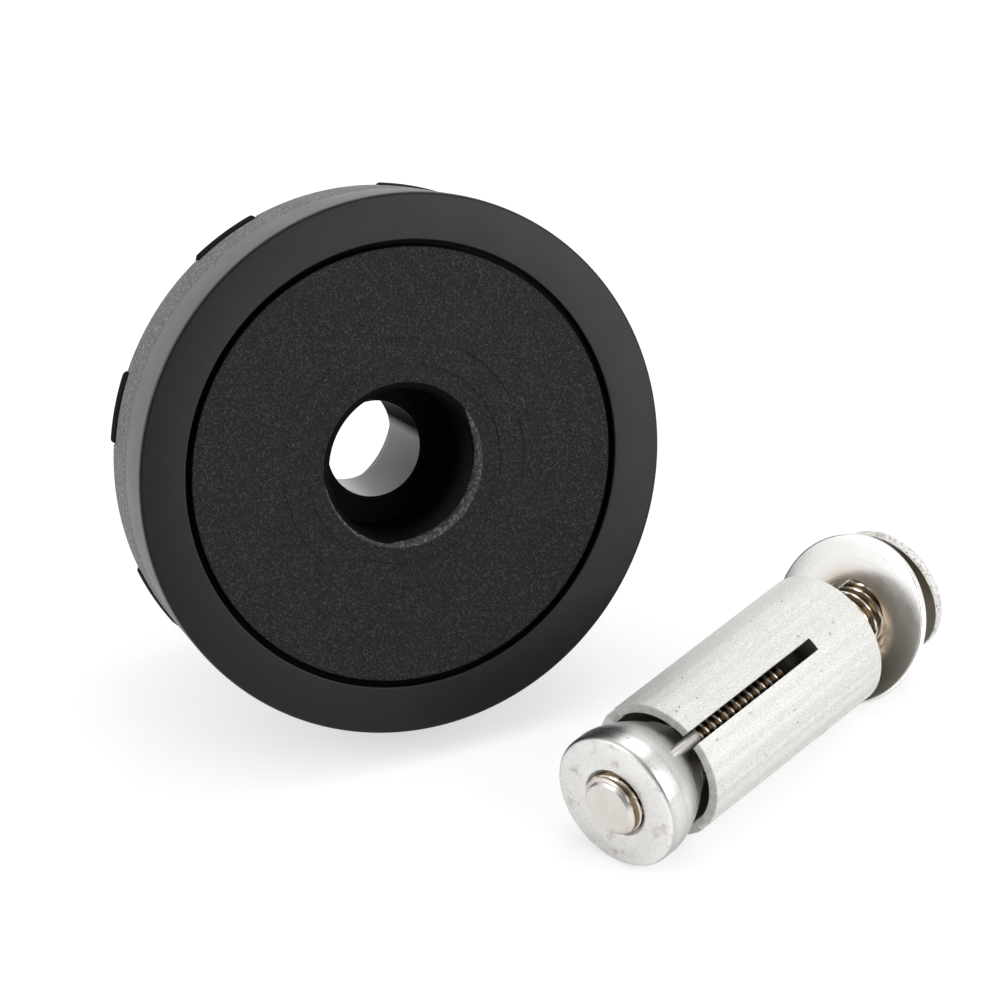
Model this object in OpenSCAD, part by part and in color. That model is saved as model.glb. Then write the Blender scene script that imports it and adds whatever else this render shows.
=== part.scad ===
// Bolt-through pot magnet with a moulded cap, and its expansion bolt kit lying beside it.
// The puck stands on its rear rim and leans back on its magnet pot, front face toward -Y.
// The kit lies on the floor: bolt, loose washer, slotted expansion sleeve and keyed cone nut.
// Units are millimetres. +Z is up and the floor is z = 0.

/* [Cap] */
// Diameter of the front face
face_d = 67; // [64:0.5:80]
// Depth of the cap from its front face to its rear rim
cap_h = 15; // [14:0.1:20]
// Amount by which the side draws in, on the radius, from front to rear
side_draft = 1.37; // [0.6:0.01:2]
// Width of the face outside the textured disc: the groove and the smooth ring
ring_w = 6.6; // [5:0.1:8]
// Width of the groove between the disc and the smooth ring
groove_w = 0.75; // [0.4:0.05:1.2]
// Depth of that groove
groove_h = 1.2; // [0.6:0.1:2]
// Depth of the smooth ring's side
ring_h = 7.8; // [6:0.1:9]
// Rounding of the face's outer edge
edge_round = 0.45; // [0.2:0.05:1]

/* [Bolt hole] */
// Room round the bolt's head in the counterbore, on the radius
head_play = 1; // [0.3:0.05:2.5]
// Depth of the counterbore
cbore_h = 10.6; // [6:0.1:11]
// Rounding of the counterbore's mouth
cbore_round = 1; // [0.2:0.05:1.2]
// Room round the bolt's shank in the bush, on the radius
shank_play = 2; // [0.2:0.05:2.4]
// Wall of the bush
bush_wall = 0.55; // [0.4:0.05:1]
// How far the boss round the bush ends short of the magnet's seat
boss_sink = 0.3; // [0.1:0.1:1]

/* [Magnet pot] */
// Width of the step from the rear rim in to the steel pot
ledge_w = 6.63; // [6.5:0.01:9]
// Depth of the pulling face behind the front face
pull_face_h = 33.5; // [31:0.1:40]
// Wall of the pot
pot_wall = 2.8; // [2:0.1:4]
// Chamfer on the pot's outer edge
pot_chamfer = 0.5; // [0.2:0.1:1]
// Thickness of the pot's floor
pot_floor = 9; // [6:0.1:9.4]
// Width of the flange that holds the pot in the cap
flange_w = 1.3; // [0.8:0.1:1.4]
// Thickness of that flange
flange_h = 2; // [1.2:0.1:2.4]
// Room round the sleeve in the rear recess, for the wall of its tube, on the radius
recess_play = 1.2; // [0.5:0.05:2]
// Width of the potting compound outside the ring magnet
outer_potting_w = 1.5; // [0.6:0.1:2.5]
// Width of the potting compound inside the ring magnet
inner_potting_w = 1.1; // [0.6:0.1:2]
// How far the magnet lies below the pot's edge
magnet_sink = 0.9; // [0.2:0.1:1.5]
// How far the potting compound lies below the pot's edge
potting_sink = 1.1; // [0.2:0.1:1.5]
// Wall of the steel liner in the hole
liner_wall = 1; // [0.6:0.1:1.2]
// How far the liner ends below the pot's edge
liner_sink = 0.5; // [0.2:0.1:1.5]

/* [Retaining ring] */
// Thickness of the ring that clamps the pot's flange
keeper_h = 1.6; // [1.2:0.1:2.5]
// How far the ring's plate lies inside the rear rim, on the radius
keeper_inset = 0.65; // [0.6:0.01:0.8]
// Number of lugs round the ring
lug_count = 8; // [4:1:10]
// Angle that each lug covers, in degrees
lug_angle = 16; // [10:1:24]
// How far the lugs stand out past the rear rim
lug_proud = 0.2; // [0.1:0.02:0.6]
// Depth of the notches in the rear rim that the lugs sit in
notch_h = 1.2; // [0.6:0.1:2]
// Width of a lug inside the plate's edge, where it enters its notch
lug_nest_w = 0.5; // [0.3:0.1:1]
// Clearance on each side of a lug in its notch
notch_gap = 0.1; // [0.05:0.05:0.3]
// Height of a lug before its outer face slopes in
lug_side = 0.6; // [0.3:0.1:0.8]
// Full height of a lug at its root
lug_h = 2.6; // [2.1:0.1:3.5]
// Cut across a lug's two outer corners
lug_corner = 0.5; // [0.2:0.05:0.8]
// Turn of the lugs about the puck's axis, in degrees
lug_turn = 20; // [0:1:44]

/* [Cap screws] */
// Number of screws that hold the retaining ring
screw_count = 4; // [2:1:4]
// Width of the plate left outside a screw's head
screw_edge = 0.28; // [0.2:0.02:0.5]
// Thread diameter of a screw
screw_d = 2.5; // [2:0.1:2.6]
// Diameter of a screw's countersunk head
screw_head_d = 4.4; // [3.8:0.1:4.4]
// Length of a screw, head included
screw_len = 7; // [5:0.1:8]

/* [Bolt] */
// Thread diameter of the bolt
bolt_d = 8; // [7.6:0.1:8]
// Chamfer on the bolt's tip
tip_chamfer = 0.8; // [0.4:0.1:1.2]
// Diameter of the bolt's head
head_d = 16.5; // [14:0.1:18]
// Height of the head's straight side
head_side = 1.25; // [1:0.05:3]
// Height of the head's dome above that side
head_dome = 2.4; // [1.5:0.1:4]
// Width across flats of the hexagon socket
socket_af = 5; // [4:0.1:6]
// Depth of the socket
socket_h = 2.8; // [2:0.1:3]

/* [Washer] */
// Outside diameter of the washer
washer_d = 21.3; // [20:0.1:21.5]
// Inside diameter of the washer
washer_bore_d = 9.9; // [9.4:0.1:13]
// Thickness of the washer
washer_h = 1; // [0.8:0.1:1]
// Gap left between the hole of the leaning washer and the bolt
washer_play = 0.12; // [0.1:0.01:0.3]
// Gap between the leaning washer and the sleeve's end
washer_gap = 0.2; // [0.1:0.05:0.6]
// Gap between the leaning washer and the bolt's head
head_gap = 1.5; // [0.2:0.05:2]

/* [Expansion sleeve] */
// Outside diameter of the sleeve
sleeve_d = 18; // [18:0.1:19]
// Wall of the slotted legs
sleeve_wall = 1.35; // [1:0.05:1.4]
// Length of the sleeve
sleeve_len = 33.3; // [30:0.1:34]
// Length of the solid collar at the closed end
collar_len = 5.6; // [3:0.1:7]
// Number of slots
slot_count = 4; // [2:2:6]
// Width of a slot
slot_w = 1.8; // [1.8:0.1:2.4]
// Length of a slot from the sleeve's open mouth
slot_len = 24; // [16:0.1:26]
// Turn of the slots about the sleeve's axis, in degrees
slot_turn = 36; // [0:1:45]

/* [Cone nut] */
// Diameter of the nut's flange
nut_d = 17.6; // [16:0.1:17.8]
// Thickness of that flange
nut_flange_h = 2.4; // [1.5:0.1:3]
// Length of the convex taper behind the flange
nut_taper_len = 7.2; // [6.8:0.1:7.6]
// Amount by which the taper draws in, on the radius
nut_taper = 3; // [2.8:0.05:3.2]
// Rounding at the small end of the nut
nut_end_round = 0.75; // [0.4:0.05:1]
// Distance from the bolt's tip to the nut's outer face
tip_proud = 1.4; // [0.5:0.1:2]
// Distance from the nut's outer face to the sleeve's mouth
mouth_gap = 8.4; // [8.4:0.1:9]
// Length of the nut's keys past the sleeve's mouth
key_grip = 1.9; // [1.6:0.1:3]
// Clearance on each side of a key in its slot
key_gap = 0.15; // [0.1:0.01:0.25]
// How far the keys stay inside the sleeve's outside, on the radius
key_sink = 0.3; // [0.2:0.05:0.6]

/* [Fits] */
// Radial clearance of the bolt in the nut
thread_gap = 0.05; // [0.03:0.01:0.08]
// Radial clearance of the bolt in the sleeve's collar
collar_gap = 0.1; // [0.05:0.01:0.1]
// Radial clearance between pieces that are pressed or potted together
seat_gap = 0.03; // [0.02:0.01:0.05]
// Radial clearance of the liner or the retaining ring round what it passes
pass_gap = 0.3; // [0.2:0.05:0.5]

/* [Where they lie] */
// Distance of the puck's face centre from the origin along X
puck_x = -15.5; // [-20:0.1:-10]
// Distance of the puck's face centre from the origin along Y
puck_y = 3.7; // [0:0.1:10]
// Distance of the bolt's tip from the puck's face centre along X
kit_x = 9.6; // [6:0.1:14]
// Distance of the bolt's tip in front of the puck's face centre along Y
kit_y = 40.6; // [40:0.1:50]
// Direction of the bolt, from +X toward +Y, in degrees
kit_turn = 28.3; // [20:0.1:29]

/* [Hidden] */

$fn = 96;

face_r = face_d / 2;
rim_r = face_r - side_draft;
disc_r = face_r - ring_w;
bolt_r = bolt_d / 2;
head_r = head_d / 2;
washer_r = washer_d / 2;
cbore_r = head_r + head_play;
bush_bore_r = bolt_r + shank_play;
bush_r = bush_bore_r + bush_wall;
pot_r = rim_r - ledge_w;
pot_flange_r = pot_r + flange_w;
pot_front = cap_h - flange_h;
magnet_seat = pot_front + pot_floor;
boss_end = magnet_seat - boss_sink;
liner_bore_r = sleeve_d / 2 + recess_play;
liner_r = liner_bore_r + liner_wall;
pot_hole_r = liner_r + seat_gap;
boss_r = liner_r;
pot_inner_r = pot_r - pot_wall;
magnet_r = pot_inner_r - outer_potting_w;
magnet_bore_r = pot_hole_r + inner_potting_w;
keeper_r = rim_r - keeper_inset;
lug_r = rim_r + lug_proud;
lug_nest_r = keeper_r - lug_nest_w;
notch_r = lug_nest_r - pass_gap;
notch_angle = lug_angle + 2 * notch_gap / lug_r * 180 / PI;
screw_r = screw_d / 2;
screw_hole_r = screw_r + seat_gap;
screw_head_r = screw_head_d / 2;
screw_circle_r = keeper_r - screw_edge - screw_head_r;
screw_tip = cap_h + keeper_h - screw_len;
// Angle from one lug to the space beside it, where a screw sits
screw_turn = lug_turn + 180 / lug_count;

sleeve_r = sleeve_d / 2;
sleeve_bore_r = sleeve_r - sleeve_wall;
nut_r = nut_d / 2;
nut_small_r = nut_r - nut_taper;
nut_taper_end = nut_flange_h + nut_taper_len;
nut_len = nut_taper_end + nut_end_round;
mouth_z = tip_proud + mouth_gap;
sleeve_end_z = mouth_z + sleeve_len;
washer_bore_r = washer_bore_d / 2;
// The washer leans until the corners of its hole all but meet the bolt
washer_lean = acos((bolt_r + washer_play) / norm([washer_bore_r, washer_h / 2]))
    - atan(washer_h / 2 / washer_bore_r);
// Reach of the leaning washer from its centre, along the bolt and down
washer_reach = washer_r * sin(washer_lean) + washer_h / 2 * cos(washer_lean);
washer_drop = washer_r * cos(washer_lean) + washer_h / 2 * sin(washer_lean);
washer_z = sleeve_end_z + washer_gap + washer_reach;
bolt_len = washer_z + washer_reach + head_gap;
// The kit lies on the sleeve's mouth and on the leaning washer, so its far end is a little higher
washer_rise = washer_r * sin(washer_lean) - washer_h / 2 * cos(washer_lean);
kit_tilt = atan(max(0, washer_drop - sleeve_r) / (washer_z - mouth_z - washer_rise));
// Height of the bolt's axis at its tip, set by whichever piece reaches lowest
kit_z = max(
    sleeve_r * cos(kit_tilt) - mouth_z * sin(kit_tilt),
    nut_r * cos(kit_tilt) - tip_proud * sin(kit_tilt),
    washer_drop * cos(kit_tilt) - (washer_z - washer_rise) * sin(kit_tilt),
    head_r * cos(kit_tilt) - bolt_len * sin(kit_tilt));
key_w = slot_w - 2 * key_gap;
key_r = sleeve_r - key_sink;
key_end = mouth_gap + key_grip;

// The puck touches the floor with its rear rim and with the pot's far edge
lean = atan((rim_r - pot_r) / (pull_face_h - pot_chamfer - cap_h));
face_z = rim_r * cos(lean) + cap_h * sin(lean);
overlap = 0.1;
taper_steps = 10;
round_steps = 6;

// Radius of the drafted side at a depth behind the front face
function side_r(depth) = face_r - side_draft * depth / cap_h;

// Points of a quarter round from one angle to another about a centre
function arc(cx, cy, r, from, to) =
    [for (i = [0 : round_steps]) let (a = from + (to - from) * i / round_steps)
        [cx + r * cos(a), cy + r * sin(a)]];

// Radius of the cone nut at a distance behind its flange
function nut_taper_r(run) = nut_r - nut_taper * pow(run / nut_taper_len, 1.6);

// Puck coordinates: z is the depth behind the front face and y points down the face
module place_puck() {
    translate([puck_x, puck_y, face_z])
        rotate([-(90 + lean), 0, 0])
            children();
}

// Kit coordinates: z runs from the bolt's tip to its head and -x is up
module place_kit() {
    translate([puck_x + kit_x, puck_y - kit_y, kit_z])
        rotate([0, 0, kit_turn])
            rotate([0, 90 - kit_tilt, 0])
                children();
}

// A plain ring between two radii and two depths
module tube(r_in, r_out, from, to) {
    rotate_extrude()
        translate([r_in, from])
            square([r_out - r_in, to - from]);
}

// Places a child at each cap screw
module at_screws() {
    for (i = [0 : screw_count - 1])
        rotate([0, 0, screw_turn + i * 360 / screw_count])
            translate([screw_circle_r, 0, 0])
                children();
}

// Places a child at each lug
module at_lugs() {
    for (i = [0 : lug_count - 1])
        rotate([0, 0, lug_turn + i * 360 / lug_count])
            children();
}

module housing() {
    color([0.17, 0.17, 0.175])
        place_puck()
            difference() {
                rotate_extrude()
                    polygon(concat(
                        [[bush_r + seat_gap, cbore_h], [cbore_r, cbore_h]],
                        arc(cbore_r + cbore_round, cbore_round, cbore_round, 180, 270),
                        [[disc_r, 0], [disc_r, ring_h], [side_r(ring_h), ring_h],
                            [rim_r, cap_h], [pot_flange_r + seat_gap, cap_h],
                            [pot_flange_r + seat_gap, pot_front], [boss_r, pot_front],
                            [boss_r, boss_end], [bush_r + seat_gap, boss_end]]));
                at_screws()
                    translate([0, 0, screw_tip - pass_gap])
                        cylinder(r = screw_hole_r, h = screw_len, $fn = 32);
                at_lugs()
                    rotate([0, 0, -notch_angle / 2])
                        rotate_extrude(angle = notch_angle)
                            translate([notch_r, cap_h - notch_h - seat_gap])
                                square([lug_r - notch_r + 1, notch_h + seat_gap + overlap]);
            }
}

module bumper_ring() {
    color([0.24, 0.24, 0.245])
        place_puck()
            rotate_extrude()
                polygon(concat(
                    [[disc_r + seat_gap, ring_h], [disc_r + seat_gap, groove_h],
                        [disc_r + groove_w, groove_h], [disc_r + groove_w, 0]],
                    arc(face_r - edge_round, edge_round, edge_round, 270, 360),
                    [[side_r(ring_h), ring_h]]));
}

// One lug, with its foot in a notch, a sloping back and its two outer corners cut off
module lug() {
    lug_foot = keeper_r - 1;
    difference() {
        rotate([0, 0, -lug_angle / 2])
            rotate_extrude(angle = lug_angle)
                polygon([[lug_foot, 0], [lug_nest_r, 0], [lug_nest_r, -notch_h], [lug_r, -notch_h],
                    [lug_r, lug_side], [keeper_r, lug_h], [lug_foot, lug_h]]);
        for (side = [-1, 1])
            rotate([0, 0, side * lug_angle / 2])
                translate([lug_r, 0, (lug_h - notch_h) / 2])
                    rotate([0, 0, 45])
                        cube([lug_corner * sqrt(2), lug_corner * sqrt(2),
                            lug_h + notch_h + overlap], center = true);
    }
}

module retaining_ring() {
    color([0.07, 0.07, 0.07])
        place_puck()
            translate([0, 0, cap_h])
                difference() {
                    union() {
                        tube(pot_r + pass_gap, keeper_r, 0, keeper_h);
                        at_lugs()
                            lug();
                    }
                    at_screws()
                        screw_body(keeper_h, screw_hole_r, screw_head_r + seat_gap, 1);
                }
}

// Countersunk screw below a plane at height top, or the hole that it fills
module screw_body(top, r, head_r, extra) {
    cone_h = head_r - r;
    translate([0, 0, top - cone_h])
        cylinder(r1 = r, r2 = head_r, h = cone_h, $fn = 32);
    translate([0, 0, top - screw_len - extra])
        cylinder(r = r, h = screw_len + extra - cone_h + overlap, $fn = 32);
}

module retaining_screws() {
    color([0.55, 0.56, 0.58])
        place_puck()
            translate([0, 0, cap_h])
                at_screws()
                    screw_body(keeper_h, screw_r, screw_head_r, 0);
}

module steel_pot() {
    color([0.72, 0.73, 0.74])
        place_puck()
            rotate_extrude()
                polygon([[pot_hole_r, pot_front], [pot_flange_r, pot_front], [pot_flange_r, cap_h],
                    [pot_r, cap_h], [pot_r, pull_face_h - pot_chamfer],
                    [pot_r - pot_chamfer, pull_face_h], [pot_inner_r, pull_face_h],
                    [pot_inner_r, magnet_seat], [pot_hole_r, magnet_seat]]);
}

module ring_magnet() {
    color([0.62, 0.63, 0.65])
        place_puck()
            tube(magnet_bore_r, magnet_r, magnet_seat, pull_face_h - magnet_sink);
}

module outer_potting() {
    color([0.1, 0.1, 0.1])
        place_puck()
            tube(magnet_r + seat_gap, pot_inner_r - seat_gap, magnet_seat, pull_face_h - potting_sink);
}

module inner_potting() {
    color([0.1, 0.1, 0.1])
        place_puck()
            tube(pot_hole_r, magnet_bore_r - seat_gap, magnet_seat, pull_face_h - potting_sink);
}

module liner() {
    color([0.7, 0.7, 0.71])
        place_puck()
            tube(liner_bore_r, liner_r, boss_end, pull_face_h - liner_sink);
}

module centre_bush() {
    color([0.05, 0.05, 0.05])
        place_puck()
            tube(bush_bore_r, bush_r, cbore_h, boss_end);
}

module clamp_bolt() {
    dome_r = head_r - 0.5;
    color([0.7, 0.69, 0.66])
        place_kit()
            difference() {
                rotate_extrude()
                    polygon(concat(
                        [[0, 0], [bolt_r - tip_chamfer, 0], [bolt_r, tip_chamfer],
                            [bolt_r, bolt_len], [head_r, bolt_len],
                            [head_r, bolt_len + head_side]],
                        [for (i = [0 : round_steps]) let (a = 90 * i / round_steps)
                            [dome_r * (1 - i / round_steps * (1 - socket_af / dome_r)),
                                bolt_len + head_side + head_dome * sin(a)]],
                        [[0, bolt_len + head_side + head_dome]]));
                translate([0, 0, bolt_len + head_side + head_dome - socket_h])
                    cylinder(d = socket_af / cos(30), h = socket_h + overlap, $fn = 6);
            }
}

module flat_washer() {
    color([0.8, 0.8, 0.8])
        place_kit()
            translate([0, 0, washer_z])
                rotate([0, washer_lean, 0])
                    tube(washer_bore_r, washer_r, -washer_h / 2, washer_h / 2);
}

module expansion_sleeve() {
    inner_run = sleeve_len - collar_len;
    color([0.88, 0.88, 0.87])
        place_kit()
            translate([0, 0, mouth_z])
                difference() {
                    cylinder(r = sleeve_r, h = sleeve_len);
                    translate([0, 0, -overlap])
                        cylinder(r = sleeve_bore_r, h = inner_run + overlap);
                    translate([0, 0, inner_run - overlap])
                        cylinder(r = bolt_r + collar_gap, h = collar_len + 2 * overlap);
                    for (i = [0 : slot_count - 1])
                        rotate([0, 0, slot_turn + i * 360 / slot_count])
                            translate([sleeve_bore_r / 2, -slot_w / 2, -overlap])
                                cube([sleeve_r, slot_w, slot_len + overlap]);
                }
}

module cone_nut() {
    bore_r = bolt_r + thread_gap;
    key_from = nut_flange_h + 1.5;
    color([0.78, 0.77, 0.75])
        place_kit()
            translate([0, 0, tip_proud])
                difference() {
                    union() {
                        rotate_extrude()
                            polygon(concat(
                                [[bore_r, 0.45], [bore_r + 0.45, 0], [nut_r - 0.3, 0], [nut_r, 0.3]],
                                [for (i = [0 : taper_steps]) let (run = nut_taper_len * i / taper_steps)
                                    [nut_taper_r(run), nut_flange_h + run]],
                                [[nut_small_r - nut_end_round, nut_len], [bore_r, nut_len]]));
                        for (side = [0, 1])
                            rotate([0, 0, slot_turn + side * 180])
                                translate([nut_small_r - nut_end_round - 1, -key_w / 2, key_from])
                                    cube([key_r - nut_small_r + nut_end_round + 1, key_w,
                                        key_end - key_from]);
                    }
                    translate([0, 0, key_from])
                        cylinder(r = bore_r, h = key_end);
                }
}

housing();
bumper_ring();
retaining_ring();
retaining_screws();
steel_pot();
ring_magnet();
outer_potting();
inner_potting();
liner();
centre_bush();
clamp_bolt();
flat_washer();
expansion_sleeve();
cone_nut();
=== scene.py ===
"""Looks for a bolt-through pot magnet and the expansion bolt kit beside it.

Every piece is drawn in millimetres on its own axis, the puck's or the bolt's, and then set in place
in the frame. Both axes run along local Z: on the puck from the front face to the rear, and on the
kit from the bolt's tip to its head.
"""
import math

import bmesh
import bpy
import numpy as np
from mathutils import Euler, Matrix, Vector


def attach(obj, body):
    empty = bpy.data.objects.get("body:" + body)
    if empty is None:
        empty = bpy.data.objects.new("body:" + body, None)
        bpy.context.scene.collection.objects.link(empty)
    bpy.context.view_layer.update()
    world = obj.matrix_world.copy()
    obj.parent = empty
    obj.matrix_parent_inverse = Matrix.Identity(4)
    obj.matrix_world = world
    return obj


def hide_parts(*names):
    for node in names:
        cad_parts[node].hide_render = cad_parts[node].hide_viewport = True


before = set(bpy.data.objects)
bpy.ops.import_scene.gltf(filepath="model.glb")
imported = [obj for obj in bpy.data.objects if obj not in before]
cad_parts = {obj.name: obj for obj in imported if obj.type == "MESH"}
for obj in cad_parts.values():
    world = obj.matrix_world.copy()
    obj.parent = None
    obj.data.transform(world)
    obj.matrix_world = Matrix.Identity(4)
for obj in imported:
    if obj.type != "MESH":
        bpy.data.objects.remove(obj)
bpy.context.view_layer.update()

MM = 0.001
PLAY = 0.03  # room between pieces that fit into one another, in millimetres

# -------- sizes, in millimetres
FACE_R, RIM_R, CAP_H = 33.5, 32.13, 15.0
DISC_R, GROOVE_W, GROOVE_H, RING_H = 26.9, 0.75, 1.2, 7.8
CBORE_R, CBORE_H, CBORE_ROUND, BOSS_END = 9.25, 10.6, 1.0, 21.7
BUSH_R, BUSH_BORE_R = 6.55, 6.0
POT_R, POT_FLANGE_R, POT_FRONT, POT_FLOOR_END, PULL_FACE = 25.5, 26.8, 13.0, 22.0, 33.5
POT_INNER_R, POT_HOLE_R, POT_CHAMFER = 22.7, 11.23, 0.5
MAGNET_R, MAGNET_BORE_R, MAGNET_END = 21.2, 12.33, 32.6
POTTING_END, LINER_R, LINER_BORE_R, LINER_END = 32.4, 11.2, 10.2, 33.0
KEEPER_R, KEEPER_H, LUG_R, LUG_H, LUG_SIDE, LUG_CORNER = 31.48, 1.6, 32.33, 2.6, 0.6, 0.5
LUGS, LUG_ANGLE, LUG_TURN, LUG_NEST_R = 8, 16.0, 20.0, 30.98
NOTCH_H, NOTCH_R, NOTCH_ANGLE = 1.2, 30.68, 16.354
SCREWS, SCREW_CIRCLE_R, SCREW_R, SCREW_HEAD_R, SCREW_LEN = 4, 29.0, 1.25, 2.2, 7.0
SCREW_TURN = LUG_TURN + 180 / LUGS

BOLT_R, BOLT_LEN, THREAD_PITCH, THREAD_ROOT_R, TIP_CHAMFER = 4.0, 55.787, 1.25, 3.3, 0.8
HEAD_R, HEAD_SIDE, HEAD_DOME, SOCKET_AF, SOCKET_H = 8.25, 1.25, 2.4, 5.0, 2.8
WASHER_R, WASHER_BORE_R, WASHER_H, WASHER_Z, WASHER_LEAN = 10.65, 4.95, 1.0, 48.7936, 28.3271
SLEEVE_R, SLEEVE_BORE_R, SLEEVE_LEN, COLLAR_LEN, COLLAR_BORE_R = 9.0, 7.65, 33.3, 11.8, 4.1
SLOTS, SLOT_W, SLOT_LEN, SLOT_FLOOR_R, SLOT_TURN, MOUTH_Z = 4, 1.8, 24.0, 5.8, 36.0, 9.8
NUT_R, NUT_FLANGE_H, NUT_TAPER_LEN, NUT_TAPER, NUT_END_ROUND = 8.8, 2.4, 7.2, 3.0, 0.75
NUT_Z, NUT_BORE_R, KEYS, KEY_W, KEY_R, KEY_FROM, KEY_END = 1.4, 4.05, 2, 1.5, 8.7, 3.9, 10.3

LEAN = 20.2204
KIT_TURN, KIT_TILT = 28.3, 1.01972
PUCK = (Matrix.Translation((-15.5, 3.7, 35.3343))
        @ Euler((math.radians(-90 - LEAN), 0, 0)).to_matrix().to_4x4())
KIT = (Matrix.Translation((-5.9, -36.9, 8.82417)) @ Matrix.Rotation(math.radians(KIT_TURN), 4, "Z")
       @ Matrix.Rotation(math.radians(90 - KIT_TILT), 4, "Y"))
WASHER = KIT @ Matrix.Translation((0, 0, WASHER_Z)) @ Matrix.Rotation(math.radians(WASHER_LEAN), 4, "Y")


# ======== node helpers
def plug(tree, socket, value):
    """Gives a socket a constant, or joins it to another node's output."""
    if isinstance(value, bpy.types.NodeSocket):
        tree.links.new(value, socket)
    else:
        socket.default_value = value


def put(tree, kind, values=None, **settings):
    """Adds a node with its settings and its inputs."""
    node = tree.nodes.new(kind)
    for key, value in settings.items():
        setattr(node, key, value)
    for key, value in (values or {}).items():
        plug(tree, node.inputs[key], value)
    return node


def calc(tree, operation, a, b=0.0, c=0.0):
    """One Math node, for a shader or a geometry tree."""
    return put(tree, "ShaderNodeMath", {0: a, 1: b, 2: c}, operation=operation).outputs[0]


def between(tree, value, low, high, to_low=0.0, to_high=1.0, way="SMOOTHSTEP"):
    """A value carried from one range to another without passing the ends."""
    return put(tree, "ShaderNodeMapRange", {"Value": value, "From Min": low, "From Max": high,
                                            "To Min": to_low, "To Max": to_high},
               interpolation_type=way).outputs["Result"]


def blend_colour(tree, factor, a, b, kind="MIX"):
    """Two colours mixed, or combined in another way."""
    return put(tree, "ShaderNodeMix", {0: factor, 6: a, 7: b}, data_type="RGBA",
               blend_type=kind).outputs[2]


def noise(tree, point, scale, detail, rough=0.5):
    """A soft random field from 0 to 1."""
    return put(tree, "ShaderNodeTexNoise", {"Vector": point, "Scale": scale, "Detail": detail,
                                            "Roughness": rough}).outputs[0]


def toned(colour, by=1.0):
    """A colour made darker or lighter, with its alpha."""
    return (*[min(1.0, by * c) for c in colour], 1.0)


def new_group(name, inputs, outputs, kind="ShaderNodeTree"):
    """An empty node group with named sockets, and its two end nodes."""
    group = bpy.data.node_groups.new(name, kind)
    for label, socket, default in inputs:
        made = group.interface.new_socket(label, in_out="INPUT", socket_type="NodeSocket" + socket)
        if default is not None:
            made.default_value = default
    for label, socket in outputs:
        group.interface.new_socket(label, in_out="OUTPUT", socket_type="NodeSocket" + socket)
    return group, group.nodes.new("NodeGroupInput").outputs, group.nodes.new("NodeGroupOutput").inputs


def use(tree, group, values=None):
    """Places a shader node group in a material and returns its outputs."""
    return put(tree, "ShaderNodeGroup", values, node_tree=group).outputs


# ======== shared shader effects
def axis_group(name, place):
    """Millimetres on a piece's own axis: the point, its radius, its angle in turns, its depth."""
    group, _, out = new_group(name, [], [("Point", "Vector"), ("Radius", "Float"),
                                         ("Turn", "Float"), ("Depth", "Float")])
    here = put(group, "ShaderNodeTexCoord").outputs["Object"]
    where = place.translation * MM
    local = put(group, "ShaderNodeMapping", {"Vector": here, "Location": where,
                "Rotation": place.to_euler(), "Scale": (MM, MM, MM)}, vector_type="TEXTURE").outputs[0]
    xyz = put(group, "ShaderNodeSeparateXYZ", {0: local}).outputs
    flat = put(group, "ShaderNodeCombineXYZ", {0: xyz[0], 1: xyz[1]}).outputs[0]
    radius = put(group, "ShaderNodeVectorMath", {0: flat}, operation="LENGTH").outputs["Value"]
    turn = calc(group, "DIVIDE", calc(group, "ARCTAN2", xyz[1], xyz[0]), 2 * math.pi)
    for socket, value in zip(out, (local, radius, turn, xyz[2])):
        plug(group, socket, value)
    return group


def grain_group():
    """Moulded leather grain: rounded pebbles of a given size, with a slower unevenness."""
    group, ins, out = new_group("moulded_grain", [("Point", "Vector", None), ("Pebble", "Float", 0.4),
                                                  ("Uneven", "Float", 0.4)],
                                [("Height", "Float"), ("Valley", "Float")])
    scale = calc(group, "DIVIDE", 1.0, ins["Pebble"])
    bend = put(group, "ShaderNodeTexNoise", {"Vector": ins["Point"], "Scale": 1.3,
                                             "Detail": 2.0}).outputs["Color"]
    moved = put(group, "ShaderNodeVectorMath", {0: bend, 1: (0.35, 0.35, 0.35), 2: ins["Point"]},
                operation="MULTIPLY_ADD").outputs[0]
    cells = put(group, "ShaderNodeTexVoronoi", {"Vector": moved, "Scale": scale, "Smoothness": 0.6},
                feature="SMOOTH_F1").outputs["Distance"]
    fine = noise(group, ins["Point"], scale, 4.0, 0.6)
    broad = noise(group, moved, calc(group, "MULTIPLY", scale, 0.6), 2.0)
    pebble = calc(group, "SUBTRACT", 1.0, calc(group, "MULTIPLY", cells, 0.6))
    rough = calc(group, "MULTIPLY_ADD", broad, 1.6, fine)
    height = calc(group, "MULTIPLY_ADD", rough, ins["Uneven"], pebble)
    plug(group, out["Height"], height)
    plug(group, out["Valley"], between(group, calc(group, "SUBTRACT", cells, broad), -0.40, 0.02))
    return group


def streak_group():
    """Long marks along or round an axis, as drawing, turning or rolling leaves them."""
    group, ins, out = new_group("draw_marks", [("Across", "Float", 0.0), ("Along", "Float", 0.0),
                                               ("Fineness", "Float", 60.0), ("Stretch", "Float", 0.05)],
                                [("Marks", "Float"), ("Bands", "Float")])
    turn = calc(group, "MULTIPLY", ins["Across"], 2 * math.pi)
    x = calc(group, "MULTIPLY", calc(group, "COSINE", turn), ins["Fineness"])
    y = calc(group, "MULTIPLY", calc(group, "SINE", turn), ins["Fineness"])
    z = calc(group, "MULTIPLY", ins["Along"], ins["Stretch"])
    vector = put(group, "ShaderNodeCombineXYZ", {0: x, 1: y, 2: z}).outputs[0]
    plug(group, out["Marks"], noise(group, vector, 1.0, 5.0, 0.7))
    plug(group, out["Bands"], between(group, noise(group, vector, 0.12, 3.0), 0.35, 0.65))
    return group


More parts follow.
